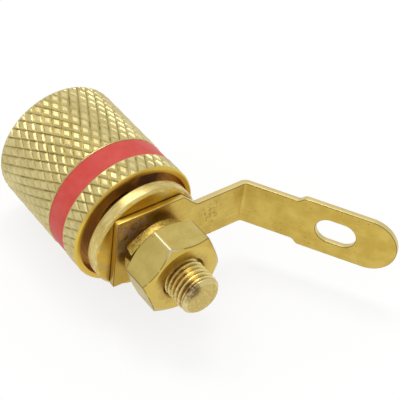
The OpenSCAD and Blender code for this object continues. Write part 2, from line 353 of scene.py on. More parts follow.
# knob: a diamond cell laid out row by row and rolled up, then the turned rear end and inside
knob = {
    "diamonds": 40, "rearRows": 2, "frontRows": 10, "grooveDepth": 0.2, "sharp": 24,
    "rimChamfer": 0.18, "rimLand": 0.06, "rimSink": 0.02, "land": 0.1, "landSink": 0.07, "runOut": 0.03,
    "edgeRadius": 0.8, "edgeSteps": 5, "edgeSoft": 0.05, "recessRadius": 5.9, "recessDepth": 1.2,
    "boreRadius": 3.06, "boreRoot": 3.3, "mouthChamfer": 0.4,
    "ringFloor": 5.45, "ringStart": 2.2, "ringEnd": 4.6,
    # share of the way across a diamond, and of the groove's depth that is left standing there
    "cellLines": {0.0: 0.0, 0.12: 0.6, 0.26: 0.97, 0.5: 1.0, 0.74: 0.97, 0.88: 0.6, 1.0: 0.0},
    "bright": (0.69, 0.59, 0.27), "deep": (0.58, 0.485, 0.20), "marks": "turned", "markScale": 9.0,
    "markTone": 0.15, "markDepth": 0.4, "patchScale": 0.5, "speckFrom": 0.80, "speckShare": 0.4,
    "rough": 0.36, "bump": 0.35,
    # painted shade: a darker, greyer colour down in the grooves, and painted shadow lines broken along them
    "darkeningSpan": (0.1, 1.0), "darkening": (0.5, (0.54, 0.475, 0.27)), "grooveWear": 0.5,
    "grooveShadowNoise": (0.9, 3.0, 0.7), "grooveShadowSpan": (0.48, 0.6), "grooveShadowDepth": (0.5, 0.9),
    "grooveShadow": (0.55, (0.20, 0.15, 0.05)),
    "rimBorder": (-0.02, 0.02), "rimGold": (0.85, (0.76, 0.51, 0.06)),
    "wallBorder": (0.08, 0.02), "floorBorder": (-0.3, 0.1), "recessBrown": (0.9, (0.86, 0.34, 0.025)),
    "latheScale": 5.0, "latheNoise": (1.0, 2.0, 0.6), "latheSpan": (0.44, 0.58),
    "latheLine": (0.4, (0.30, 0.10, 0.03)), "cloudNoise": (0.9, 3.0, 0.6), "recessDull": 0.5,
    "sideWay": (0.42, 0.91), "sideCloud": 1.2, "sideSpan": (4.9, 5.8), "sideShare": 0.3, "sideLines": 0.5,
    "sideShade": (0.26, 0.11, 0.025),
    # a painted shadow, near black, at the top of the recess
    "stainAndShadePlace": (-2.1, 4.2), "stainAndShadeCloud": 1.6, "stainAndShadeSpan": (1.8, 1.0),
    "stainAndShade": (0.95, (0.06, 0.025, 0.022))}


# painted shade in the grooves with painted shadow lines along them, yellow plate on the turned rim, brown
# inside the recess with a painted shadow at its top, and painted shade down one side of the rim
def knobTint(g, at, shade):
    groove = g.node("ShaderNodeAttribute", {"attribute_name": "groove"}, out="Fac")
    shadowBreaks = g.span(g.noise(at.place, *knob["grooveShadowNoise"]), *knob["grooveShadowSpan"])
    # painted shade: a darker, greyer colour down in the grooves
    shade = g.coat(shade, g.span(groove, *knob["darkeningSpan"]), knob["darkening"])
    # painted shadow: dark broken lines in the deepest part of the grooves
    shade = g.coat(shade, g.span(groove, *knob["grooveShadowDepth"]) * shadowBreaks, knob["grooveShadow"])
    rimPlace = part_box("knob")[1].y / mm
    rim = g.span(at.y - (rimPlace - knob["rimChamfer"]), *knob["rimBorder"])
    inside = (g.span(at.radius - knob["recessRadius"], *knob["wallBorder"])
              * g.span(at.y - (rimPlace - knob["recessDepth"]), *knob["floorBorder"]))
    shade = g.coat(shade, rim, knob["rimGold"])
    shade = g.coat(shade, inside, knob["recessBrown"])
    lathe = g.vector(at.radius * knob["latheScale"], at.y * knob["latheScale"])
    lines = g.span(g.noise(lathe, *knob["latheNoise"]), *knob["latheSpan"])
    shade = g.coat(shade, inside * lines, knob["latheLine"])
    cloud = g.noise(at.place, *knob["cloudNoise"]) - 0.5
    wayX, wayZ = knob["sideWay"]  # the side of the rim painted darker brown, as shade
    side = rim * g.span(at.x * wayX + at.z * wayZ + cloud * knob["sideCloud"], *knob["sideSpan"])
    shade = g.blend(side * (knob["sideShare"] + lines * knob["sideLines"]), shade, knob["sideShade"])
    # painted shadow: near black at the top of the recess, where the rim shades it
    stainX, stainZ = knob["stainAndShadePlace"]
    far = g.distance(at.x - stainX, at.z - stainZ) + cloud * knob["stainAndShadeCloud"]
    shade = g.coat(shade, inside * g.span(far, *knob["stainAndShadeSpan"]), knob["stainAndShade"])
    return shade, inside * knob["recessDull"], groove * knob["grooveWear"]


knobGold = goldPlate("knobGold", knob, knobTint)


def diamondCell():
    height = knob["cellLines"]
    lines = list(height)
    count = len(lines)
    points = [(-0.5 + 0.5 * u + 0.5 * v, u - v, min(height[u], height[v])) for u in lines for v in lines]
    faces = []
    for i in range(count - 1):
        for j in range(count - 1):
            a = i * count + j
            b, c, d = a + count, a + count + 1, a + 1
            if i == j:  # split on the line where a row is cut in half
                faces += [(a, b, c), (a, c, d)]
            elif i + j == count - 2:
                faces += [(a, b, d), (b, c, d)]
            else:
                faces.append((a, b, c, d))
    mesh = bpy.data.meshes.new("diamondCell")
    mesh.from_pydata(points, [], faces)
    return linkNew("diamondCell", mesh)


def knurlTree():
    g, s = startTree("knurl", {
        "Cell": "Object", "Diamonds": "Int", "Rows": "Int", "First Row": "Int", "Row Height": "Float",
        "Start": "Float", "Rim Place": "Float", "Knob Radius": "Float", "Groove Depth": "Float",
        "Edge Start": "Float", "Edge Radius": "Float", "Merge": "Float", "Finish": "Material"})
    index = g.node("GeometryNodeInputIndex")
    row = g.one("FLOOR", (index + 0.5) / s["Diamonds"])
    column = index - row * s["Diamonds"]
    halfOn = ((row + s["First Row"]) % 2.0) * 0.5  # odd rows sit half a diamond on
    spot = g.vector(column + 0.5 + halfOn, row)
    points = g.node("GeometryNodePoints", {}, {
        "Count": s["Diamonds"] * (s["Rows"] + 1.0), "Position": spot})
    cell = g.node("GeometryNodeObjectInfo", {}, {"Object": s["Cell"]}, "Geometry")
    laid = g.node("GeometryNodeInstanceOnPoints", {}, {"Points": points, "Instance": cell})
    sheet = g.node("GeometryNodeRealizeInstances", {}, {"Geometry": laid})
    x, y, z = g.axes(g.node("GeometryNodeInputPosition"))
    outside = g.most(y < 0.0, y > s["Rows"])  # faces past the two ends of the stretch
    sheet = g.node("GeometryNodeDeleteGeometry", {"domain": "FACE"},
                   {"Geometry": sheet, "Selection": outside})
    sheet = g.node("GeometryNodeStoreNamedAttribute", {"data_type": "FLOAT", "domain": "POINT"},
                   {"Geometry": sheet, "Name": "groove", "Value": 1.0 - z})
    turn = x * (2 * math.pi) / s["Diamonds"]
    along = s["Start"] + y * s["Row Height"]
    fall = g.most(along - s["Edge Start"], 0.0)  # how far round the front edge
    edge = s["Edge Radius"] - g.one("SQRT", g.most(s["Edge Radius"] * s["Edge Radius"] - fall * fall, 0.0))
    radius = g.least(s["Knob Radius"] - s["Groove Depth"] * (1.0 - z), s["Knob Radius"] - edge)
    rolled = g.vector(radius * g.one("COSINE", turn) * -1.0, s["Rim Place"] - along,
                      radius * g.one("SINE", turn) * -1.0)
    tube = g.node("GeometryNodeSetPosition", {}, {"Geometry": sheet, "Position": rolled})
    tube = g.node("GeometryNodeMergeByDistance", {}, {"Geometry": tube, "Distance": s["Merge"]})
    endTree(g, tube, s["Finish"])
    return g


def buildKnob():
    low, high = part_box("knob")
    rim = high.y / mm
    length = (high.y - low.y) / mm
    radius = high.z / mm
    edge = knob["edgeRadius"]
    edgeStart = length - edge
    edgeRise = edge - knob["grooveDepth"]
    knurlEnd = edgeStart + math.sqrt(edge ** 2 - edgeRise ** 2)
    rimRadius = radius - knob["rimSink"]  # narrow plain lands lie beside the rim and the ring
    landEdge = knob["rimChamfer"] - knob["rimSink"]
    landRadius = radius - knob["landSink"]
    rimKnurl = landEdge + knob["rimLand"]
    nearKnurl = knob["ringStart"] - knob["land"]
    farKnurl = knob["ringEnd"] + knob["land"]
    cell = diamondCell()
    tree = knurlTree()
    bm = bmesh.new()
    for first, rows, start, end in ((0, knob["rearRows"], rimKnurl, nearKnurl),
                                    (knob["rearRows"], knob["frontRows"], farKnurl, knurlEnd)):
        bm.from_mesh(runTree(tree, {
            "Cell": cell, "Diamonds": knob["diamonds"], "Rows": rows, "First Row": first,
            "Row Height": (end - start) / rows * mm, "Start": start * mm, "Rim Place": rim * mm,
            "Knob Radius": radius * mm, "Groove Depth": knob["grooveDepth"] * mm,
            "Edge Start": edgeStart * mm, "Edge Radius": edge * mm, "Merge": 1e-6, "Finish": knobGold}))
    bpy.data.objects.remove(cell)
    openVerts = {v for e in bm.edges if len(e.link_faces) == 1 for v in e.verts}

    def around(vert):
        return math.atan2(vert.co.z, vert.co.x)

    def openRing(along, play=0.01):
        return sorted((v for v in openVerts if abs(v.co.y / mm - (rim - along)) < play), key=around)

    def carryOn(loop, outline):
        angles = [around(v) for v in loop]
        for r, along in outline:
            grown = ringAt(bm, r, rim - along, angles)
            joinRings(bm, loop, grown)
            loop = grown
        return loop

    def meet(loop, other):  # start both loops at the same angle, then join them
        gaps = [abs(math.remainder(around(v) - around(loop[0]), 2 * math.pi)) for v in other]
        start = gaps.index(min(gaps))
        joinRings(bm, loop, other[start:] + other[:start])

    recess, depth = knob["recessRadius"], knob["recessDepth"]
    bore, root, mouth = knob["boreRadius"], knob["boreRoot"], knob["mouthChamfer"]
    inside = soften([
        (rimRadius, rimKnurl - knob["runOut"]), (rimRadius, landEdge), (radius - knob["rimChamfer"], 0.0),
        (recess, 0.0), (recess, depth), (root, depth), (root, length - mouth + root - bore),
        (bore + mouth, length), (radius - edge, length)], knob["edgeSoft"])
    lean = math.asin(edgeRise / edge)
    for i in range(1, knob["edgeSteps"]):  # the rounded front edge, up to the knurl
        t = lean * i / knob["edgeSteps"]
        inside.append((radius - edge + edge * math.sin(t), edgeStart + edge * math.cos(t)))
    meet(carryOn(openRing(rimKnurl), inside), openRing(knurlEnd))
    ringStart, ringEnd, ringFloor = knob["ringStart"], knob["ringEnd"], knob["ringFloor"]
    groove = soften([
        (landRadius, nearKnurl + knob["runOut"]), (landRadius, ringStart), (ringFloor, ringStart),
        (ringFloor, ringEnd), (landRadius, ringEnd), (landRadius, farKnurl - knob["runOut"])], knob["runOut"])
    meet(carryOn(openRing(nearKnurl), groove), openRing(farKnurl))
    mesh = finishMesh(bm, "knurledKnob", knob["sharp"])
    addPiece("knurledKnob", mesh, knobGold, "knob", "knob")


buildKnob()


# colour ring: a satin moulded band, a little wider than the solid so that it meets its groove
ring = {
    "inner": 5.5, "outer": 6.42, "edge": 0.06, "spread": 0.045, "segments": 240, "sharp": 50,
    "red": (0.56, 0.058, 0.046), "pale": (0.60, 0.08, 0.066), "rough": 0.45, "roughCloud": 0.2,
    "specular": 0.2,
    "cloudNoise": (0.8, 3.0, 0.6), "grainNoise": (14.0, 2.0, 0.5), "grainTone": 0.3, "toneSpan": (0.4, 0.66),
    "edgeSpan": (1.08, 1.16), "edgeReflection": (0.6, (0.62, 0.20, 0.07)), "bump": 0.15, "bumpDistance": 0.00001}


def ringPlastic():
    low, high = (corner.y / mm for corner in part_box("colour_ring"))
    material, g = startMaterial("ringRed")
    at = placeOn(g)
    cloud = g.noise(at.place, *ring["cloudNoise"])
    grain = g.noise(at.place, *ring["grainNoise"])
    tone = g.span(cloud + (grain - 0.5) * ring["grainTone"], *ring["toneSpan"])
    shade = g.blend(tone, ring["red"], ring["pale"])
    edge = g.span(g.one("ABSOLUTE", at.y - (low + high) / 2), *ring["edgeSpan"])  # off the band's middle
    # painted reflection: the band's two edges orange, as if mirroring the gold groove walls beside them
    shade = g.coat(shade, edge, ring["edgeReflection"])
    bump = g.node("ShaderNodeBump", {}, {
        "Strength": ring["bump"], "Distance": ring["bumpDistance"], "Height": grain + cloud})
    plastic = g.node("ShaderNodeBsdfPrincipled", {}, {
        "Base Color": shade, "Roughness": ring["rough"] + (cloud - 0.5) * ring["roughCloud"], "Normal": bump,
        "Specular IOR Level": ring["specular"]})
    endMaterial(g, plastic)
    return material


def buildRing():
    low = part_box("colour_ring")[0].y / mm - ring["spread"]
    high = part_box("colour_ring")[1].y / mm + ring["spread"]
    inner, outer, edge = ring["inner"], ring["outer"], ring["edge"]
    outline = soften([
        (inner, high), (outer - edge, high), (outer, high - edge),
        (outer, low + edge), (outer - edge, low), (inner, low)], edge, True)
    mesh = finishMesh(turned(outline, ring["segments"], True), "colourRing", ring["sharp"])
    addPiece("colourRing", mesh, ringPlastic(), "ring", "colour_ring")


buildRing()


# post: turned barrel, flange and stud, with a drilled wire hole and rolled threads
post = {
    "socketRadius": 2.0, "socketEnd": -5.2517, "drillPoint": -4.05, "socketMouth": 0.25,
    "barrelRadius": 3.0, "barrelCore": 2.62, "neckEnd": -3.95, "neckTaper": 0.2,
    "flangeRadius": 5.6, "flangeFront": -1.45, "flangeChamfer": 0.25,
    "studRadius": 2.0, "studCore": 1.72, "plainEnd": 0.7, "coreStart": 1.0,
    "studChamfer": 0.32, "leadRadius": 1.95, "leadStart": 0.5, "leadTaper": 0.08,
    "wireHole": 1.0, "wirePlace": -2.65, "drillLength": 10, "drillSegments": 64,
    "segments": 160, "edgeSoft": 0.05, "threadSharp": 28, "threadSink": 0.02,
    "studThread": {"pitch": 0.5, "start": 0.95, "end": 8.36, "perTurn": 64, "crest": 0.09, "root": 0.45},
    "barrelThread": {"pitch": 0.75, "start": -13.9, "end": -4.05, "perTurn": 72, "crest": 0.15, "root": 0.66},
    "boreThread": {"pitch": 0.75, "start": -15.4, "end": -3.25, "perTurn": 72, "crest": 0.15, "root": 0.62},
    "runOut": 2.5, "runOutTip": 0.02,
    "bright": (0.74, 0.60, 0.24), "deep": (0.60, 0.46, 0.15), "marks": "turned", "markScale": 7.0,
    "markTone": 0.5, "markDepth": 1.0, "patchScale": 0.5, "speckFrom": 0.80, "speckShare": 0.5,
    "rough": 0.34, "bump": 0.5,
    "cloudNoise": (0.9, 3.0, 0.6), "flakeNoise": (3.2, 3.0, 0.7),
    # the flange's rear face, painted yellow as a reflection, and streaks round its edge, the pale ones
    # painted highlights
    "faceBorder": (-0.2, -0.05), "faceInner": (1.9, 2.1), "faceCloud": (0.42, 0.6), "faceShare": 0.95,
    "faceReflectYellow": (0.70, 0.43, 0.04), "faceOlive": (0.54, 0.385, 0.10),
    "bandBorder": (5.2, 5.4), "streakAlong": 1.2, "streakAcross": 9.0, "streakNoise": (1.0, 3.0, 0.65),
    "darkSpan": (0.46, 0.38), "darkStreak": (0.5, (0.40, 0.31, 0.09)),
    "paleSpan": (0.54, 0.64), "streakHighlight": (0.55, (0.88, 0.77, 0.40)),
    # the stud's thread by radius, by y, and by y from the stud's end
    "threadStart": (0.8, 1.0), "threadEnd": (-0.22, -0.42), "threadSkin": (2.15, 2.05),
    "rootSpan": (1.97, 1.78), "rootEnd": (-0.17, -0.32), "root": (0.6, (0.76, 0.67, 0.30)),
    "deepSpan": (1.87, 1.76), "deepEnd": (-0.42, -0.52), "rootShade": (0.45, (0.30, 0.20, 0.06)),
    "crestSpan": (1.88, 1.96), "crestShare": 0.5, "threadGlintNoise": (6.0, 2.0, 0.6), "threadGlintSpan": (0.52, 0.62),
    "threadGlintShare": 0.45, "threadGlintGold": (0.95, 0.84, 0.38),
    "brownRise": 0.3, "brownCloud": 3.0, "brownSpan": (0.3, 1.3), "brownFlake": (0.36, 0.54),
    "brownShare": 0.75, "brownCrest": 0.5, "threadShade": (0.36, 0.17, 0.035),
    "leadBorder": (-0.38, -0.32), "lead": (0.6, (0.74, 0.64, 0.34)),
    "endBorder": (-0.03, -0.005), "endFlake": (0.4, 0.6), "endShare": 0.85,
    "endDark": (0.48, 0.34, 0.07), "endPale": (0.64, 0.49, 0.155),
    "tipPlace": (1.25, -0.27, 1.25), "tipCloud": 1.6, "tipSpan": (0.95, 0.5), "tipFlake": (0.36, 0.52),
    "tipShare": 0.35, "tipFlakes": 0.6, "tipBrown": (0.17, 0.095, 0.03), "tipDull": 0.3}


# a yellow flange face that is a painted reflection, a streaked edge whose pale streaks are painted
# highlights, crests and glints painted bright over brown roots and one side painted as shade, a pale lead
# chamfer painted as a highlight, a stain at the stud's tip
def postTint(g, at, shade):
    fromEnd = at.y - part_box("post")[1].y / mm
    cloud = g.noise(at.place, *post["cloudNoise"])
    flake = g.noise(at.place, *post["flakeNoise"])
    # painted reflection: saturated yellow, mottled with olive, where the flange's rear face mirrors the gold
    # beside it
    face = g.span(at.y, *post["faceBorder"]) * g.span(at.radius, *post["faceInner"])
    mottle = g.blend(g.span(cloud, *post["faceCloud"]), post["faceReflectYellow"], post["faceOlive"])
    shade = g.blend(face * post["faceShare"], shade, mottle)
    pastStart = g.span(at.y, *post["threadStart"])
    root = g.span(at.radius, *post["rootSpan"]) * pastStart * g.span(fromEnd, *post["rootEnd"])
    shade = g.coat(shade, root, post["root"])
    # painted shade: the deepest part of the thread's roots darker
    rootShade = g.span(at.radius, *post["deepSpan"]) * pastStart * g.span(fromEnd, *post["deepEnd"])
    shade = g.coat(shade, rootShade, post["rootShade"])
    thread = g.span(at.radius, *post["threadSkin"]) * pastStart * g.span(fromEnd, *post["threadEnd"])
    # painted highlights: pale gold along the crests and in glints over the thread
    crest = thread * g.span(at.radius, *post["crestSpan"])
    threadGlints = thread * g.span(g.noise(at.place, *post["threadGlintNoise"]), *post["threadGlintSpan"])
    shade = g.blend(g.most(threadGlints * post["threadGlintShare"], crest * post["crestShare"]), shade, post["threadGlintGold"])
    # painted shade: darker brown down one side of the thread, patchy, lighter on the crests
    side = at.x + at.z * post["brownRise"] + (cloud - 0.5) * post["brownCloud"]
    threadShade = thread * g.span(side, *post["brownSpan"]) * g.span(flake, *post["brownFlake"])
    shade = g.blend(threadShade * (post["brownShare"] - crest * post["brownCrest"]), shade, post["threadShade"])
    along = post["streakAlong"]
    streaks = g.noise(g.vector(at.x * along, at.y * post["streakAcross"], at.z * along), *post["streakNoise"])
    band = g.span(at.radius, *post["bandBorder"])
    # lathe streaks round the flange's edge: the dark ones are marks, the pale ones painted highlights
    shade = g.coat(shade, band * g.span(streaks, *post["darkSpan"]), post["darkStreak"])
    shade = g.coat(shade, band * g.span(streaks, *post["paleSpan"]), post["streakHighlight"])
    # painted highlight: the stud's lead chamfer paler all round
    shade = g.coat(shade, g.span(fromEnd, *post["leadBorder"]), post["lead"])
    endMottle = g.blend(g.span(flake, *post["endFlake"]), post["endDark"], post["endPale"])
    shade = g.blend(g.span(fromEnd, *post["endBorder"]) * post["endShare"], shade, endMottle)
    tipX, tipY, tipZ = post["tipPlace"]
    far = g.distance(at.x - tipX, fromEnd - tipY, at.z - tipZ) + (cloud - 0.5) * post["tipCloud"]
    flecked = post["tipShare"] + g.span(flake, *post["tipFlake"]) * post["tipFlakes"]
    tip = g.span(far, *post["tipSpan"]) * flecked
    return g.blend(tip, shade, post["tipBrown"]), tip * post["tipDull"], 0.0


postGold = goldPlate("postGold", post, postTint)
ontoAxis = (math.pi / 2, 0, math.pi)  # turns a tree's own z axis onto the post's axis


def threadTree():
    g, s = startTree("thread", {
        "Core Radius": "Float", "Thread Height": "Float", "Pitch": "Float", "Turns": "Float",
        "Per Turn": "Int", "Crest Width": "Float", "Root Width": "Float", "Side": "Float", "Start": "Float",
        "Run Out": "Float", "Run Out Tip": "Float", "Finish": "Material"})
    helix = g.node("GeometryNodeCurveSpiral", {}, {
        "Resolution": s["Per Turn"], "Rotations": s["Turns"], "Start Radius": s["Core Radius"],
        "End Radius": s["Core Radius"], "Height": s["Turns"] * s["Pitch"], "Reverse": True})
    upright = g.node("GeometryNodeSetCurveNormal", {"mode": "Z_UP"}, {"Curve": helix})
    ridge = g.node("GeometryNodeCurvePrimitiveQuadrilateral", {"mode": "TRAPEZOID"}, {
        "Height": s["Thread Height"], "Bottom Width": s["Root Width"], "Top Width": s["Crest Width"],
        "Offset": 0.0})
    reach = g.vector(s["Thread Height"] * s["Side"] * 0.5)
    facing = g.vector(z=s["Side"] * (-math.pi / 2))
    ridge = g.node("GeometryNodeTransform", {}, {"Geometry": ridge, "Translation": reach, "Rotation": facing})
    part = g.node("GeometryNodeSplineParameter", out="Factor")
    ends = g.least(part, 1.0 - part) * s["Turns"]  # turns to the nearer end, where the ridge runs out
    runOut = g.least(ends * s["Run Out"] + s["Run Out Tip"], 1.0)
    swept = g.node("GeometryNodeCurveToMesh", {}, {
        "Curve": upright, "Profile Curve": ridge, "Scale": runOut, "Fill Caps": True})
    lift = g.vector(y=s["Start"])
    placed = g.node("GeometryNodeTransform", {}, {
        "Geometry": swept, "Translation": lift, "Rotation": ontoAxis})
    endTree(g, placed, s["Finish"])
    return g


def buildThread(name, tree, size, core, crestRadius, material, body):
    side = 1.0 if crestRadius > core else -1.0  # outwards on a stud, inwards in a bore
    sink = post["threadSink"]
    mesh = runTree(tree, {
        "Core Radius": (core - side * sink) * mm, "Thread Height": (abs(crestRadius - core) + sink) * mm,
        "Pitch": size["pitch"] * mm, "Turns": (size["end"] - size["start"]) / size["pitch"],
        "Per Turn": size["perTurn"], "Crest Width": size["crest"] * mm, "Root Width": size["root"] * mm,
        "Side": side, "Start": size["start"] * mm, "Run Out": post["runOut"],
        "Run Out Tip": post["runOutTip"], "Finish": material})
    addPiece(name, finishMesh(meshToEdit(mesh), name, post["threadSharp"]), material, body)


def postOutline(low, high):
    socket, mouth = post["socketRadius"], post["socketMouth"]
    flange, chamfer, front = post["flangeRadius"], post["flangeChamfer"], post["flangeFront"]
    barrel, barrelCore, neckEnd = post["barrelRadius"], post["barrelCore"], post["neckEnd"]
    stud, studCore, lead = post["studRadius"], post["studCore"], post["leadRadius"]
    leadStart = high - post["leadStart"]
    return soften([
        (0.0, post["drillPoint"]), (socket, post["socketEnd"]), (socket, low + mouth), (socket + mouth, low),
        (barrelCore, low), (barrelCore, neckEnd), (barrel, neckEnd + post["neckTaper"]), (barrel, front),
        (flange - chamfer, front), (flange, front + chamfer), (flange, -chamfer), (flange - chamfer, 0.0),
        (stud, 0.0), (stud, post["plainEnd"]), (studCore, post["coreStart"]), (studCore, leadStart),
        (lead, leadStart + post["leadTaper"]), (lead, high - post["studChamfer"]),
        (lead - post["studChamfer"], high), (0.0, high)], post["edgeSoft"])


def buildPost():
    low, high = (corner.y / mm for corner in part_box("post"))
    blank = linkNew("postBlank", finishMesh(turned(postOutline(low, high), post["segments"]), "postBlank"))
    drill = bmesh.new()
    bmesh.ops.create_cone(drill, cap_ends=True, segments=post["drillSegments"], radius1=post["wireHole"] * mm,
                          radius2=post["wireHole"] * mm, depth=post["drillLength"] * mm,
                          matrix=Matrix.Translation((0, post["wirePlace"] * mm, 0)))
    cutter = linkNew("wireDrill", finishMesh(drill, "wireDrill"))
    cut = blank.modifiers.new("wireHole", "BOOLEAN")
    cut.operation = "DIFFERENCE"
    cut.solver = "EXACT"
    cut.object = cutter
    drilled = plainMesh(blank)
    blank.modifiers.remove(cut)
    for thing in (blank, cutter):
        bpy.data.objects.remove(thing)
    mesh = finishMesh(meshToEdit(drilled), "turnedPost")
    addPiece("turnedPost", mesh, postGold, "post", "post")
    tree = threadTree()
    buildThread("studThread", tree, post["studThread"], post["studCore"], post["studRadius"],
                postGold, "post")
    buildThread("barrelThread", tree, post["barrelThread"], post["barrelCore"], post["barrelRadius"],
                postGold, "post")
    buildThread("knobThread", tree, post["boreThread"], knob["boreRoot"], knob["boreRadius"],
                knobGold, "knob")


buildPost()


# solder tag: a flat punched blank with rolled edges, bent at the arm's end
tag = {
    "thick": 0.65, "headBack": 3.85, "headFront": 3.35, "headHalf": 4.0, "armHalf": 2.4, "armLength": 10.65,
    "bendAngle": 58.0, "bendRadius": 0.4, "bendCuts": 14, "neck": 5.3, "eyeHalf": 2.9, "leg": 15.3,
    "slotHalf": 1.35, "slotFrom": 8.65, "slotTo": 9.95, "hole": 2.15,
    "edgeRoll": 0.07, "rollSteps": 3, "backGap": 0.05, "corner": 0.2, "sharp": 30,
    "endSteps": 48, "holeSteps": 72, "slotSteps": 32, "merge": 1e-4, "cutPlay": 1e-5,
    "bright": (0.665, 0.485, 0.112), "deep": (0.56, 0.39, 0.074), "marks": "drawn", "markScale": 5.0,
    "markTone": 0.3, "markDepth": 0.5, "patchScale": 0.6, "speckFrom": 0.78, "speckShare": 0.5,
    "rough": 0.33, "bump": 0.45,
    "cloudNoise": (1.3, 3.0, 0.6), "cloudReach": 2.4,
    "headLean": 0.35, "headSpan": (5.2, 3.4), "headShade": (0.85, (0.50, 0.31, 0.04)),
    "stainAndShadePlace": (2.3, 2.4), "stainAndShadeCloud": 1.6, "stainAndShadeSpan": (2.9, 1.6), "rearBorder": (0.6, 0.64),
    "flakeNoise": (1.9, 3.0, 0.75), "flakeSpan": (0.42, 0.53), "stainShare": 0.85,
    "stainLitGold": (0.92, 0.66, 0.18), "stainBrown": (0.43, 0.26, 0.15), "stainDull": 0.6,
    "pitPlace": (-6.7, 0.4), "pitFlat": 0.8, "pitNoise": (3.4, 2.0, 0.6), "pitSpan": (0.53, 0.62),
    "pitReach": (1.7, 0.5), "pits": (0.6, (0.22, 0.12, 0.03)),
    "edgeSpan": (0.5, 0.8), "edgeFrom": (-2.0, -5.0), "edgeHighlight": (0.6, (0.76, 0.65, 0.34)),
    "lineIn": (0.01, 0.1), "lineOut": (0.8, 0.5), "shadeLine": (0.9, (0.12, 0.07, 0.02)), "lineDull": 0.8}


# painted shade browning the head round the nut, a flaky stain beside the washer with its gold flakes painted
# bright as light, pits on the arm, painted highlights on the punched edges with a painted shade line
def tagTint(g, at, shade):
    cloud = (g.noise(at.place, *tag["cloudNoise"]) - 0.5) * tag["cloudReach"]
    # painted shade: deeper brown gold on the head round the nut, where it mirrors the shaded nut and washer
    head = g.span(at.radius + cloud - at.x * tag["headLean"], *tag["headSpan"])
    shade = g.coat(shade, head, tag["headShade"])
    # a flaky stain beside the washer; its gold flakes are painted brighter than the plate, painted light
    # lifting the shade there
    stainX, stainZ = tag["stainAndShadePlace"]
    far = g.distance(at.x - stainX, at.z - stainZ) + cloud * tag["stainAndShadeCloud"]
    stainAndShade = g.span(far, *tag["stainAndShadeSpan"]) * g.span(at.y, *tag["rearBorder"])
    flake = g.span(g.noise(at.place, *tag["flakeNoise"]), *tag["flakeSpan"])
    flaky = g.blend(flake, tag["stainLitGold"], tag["stainBrown"])
    shade = g.blend(stainAndShade * tag["stainShare"], shade, flaky)
    pitX, pitZ = tag["pitPlace"]
    near = g.span(g.distance(at.x - pitX, (at.z - pitZ) * tag["pitFlat"]), *tag["pitReach"])
    pits = g.span(g.noise(at.place, *tag["pitNoise"]), *tag["pitSpan"]) * near
    shade = g.coat(shade, pits, tag["pits"])
    side = g.node("ShaderNodeAttribute", {"attribute_name": "side"}, out="Fac")
    # painted highlight: the punched edges of the arm and leg paler
    shade = g.coat(shade, g.span(side, *tag["edgeSpan"]) * g.span(at.x, *tag["edgeFrom"]), tag["edgeHighlight"])
    # painted shade: a dark line where the faces turn into the rolled edges
    shadeLine = g.span(side, *tag["lineIn"]) * g.span(side, *tag["lineOut"])
    shade = g.coat(shade, shadeLine, tag["shadeLine"])
    return shade, g.most(stainAndShade * flake * tag["stainDull"], shadeLine * tag["lineDull"]), 0.0


tagGold = goldPlate("tagGold", tag, tagTint)


def flatBlank(loops):  # punched from the sheet, its edges rolled over
    curve = bpy.data.curves.new("tagBlank", "CURVE")
    curve.dimensions = "2D"
    curve.fill_mode = "BOTH"
    curve.bevel_depth = tag["edgeRoll"]
    curve.bevel_resolution = tag["rollSteps"]
    curve.extrude = (tag["thick"] - tag["backGap"]) / 2 - tag["edgeRoll"]
    curve.offset = -tag["edgeRoll"]
    for loop in loops:
        spline = curve.splines.new("POLY")
        spline.points.add(len(loop) - 1)
        for point, (u, v) in zip(spline.points, loop):
            point.co = (u, v, 0.0, 1.0)
        spline.use_cyclic_u = True
    blank = linkNew("tagBlank", curve)
    flat = plainMesh(blank)
    bpy.data.objects.remove(blank)
    return flat


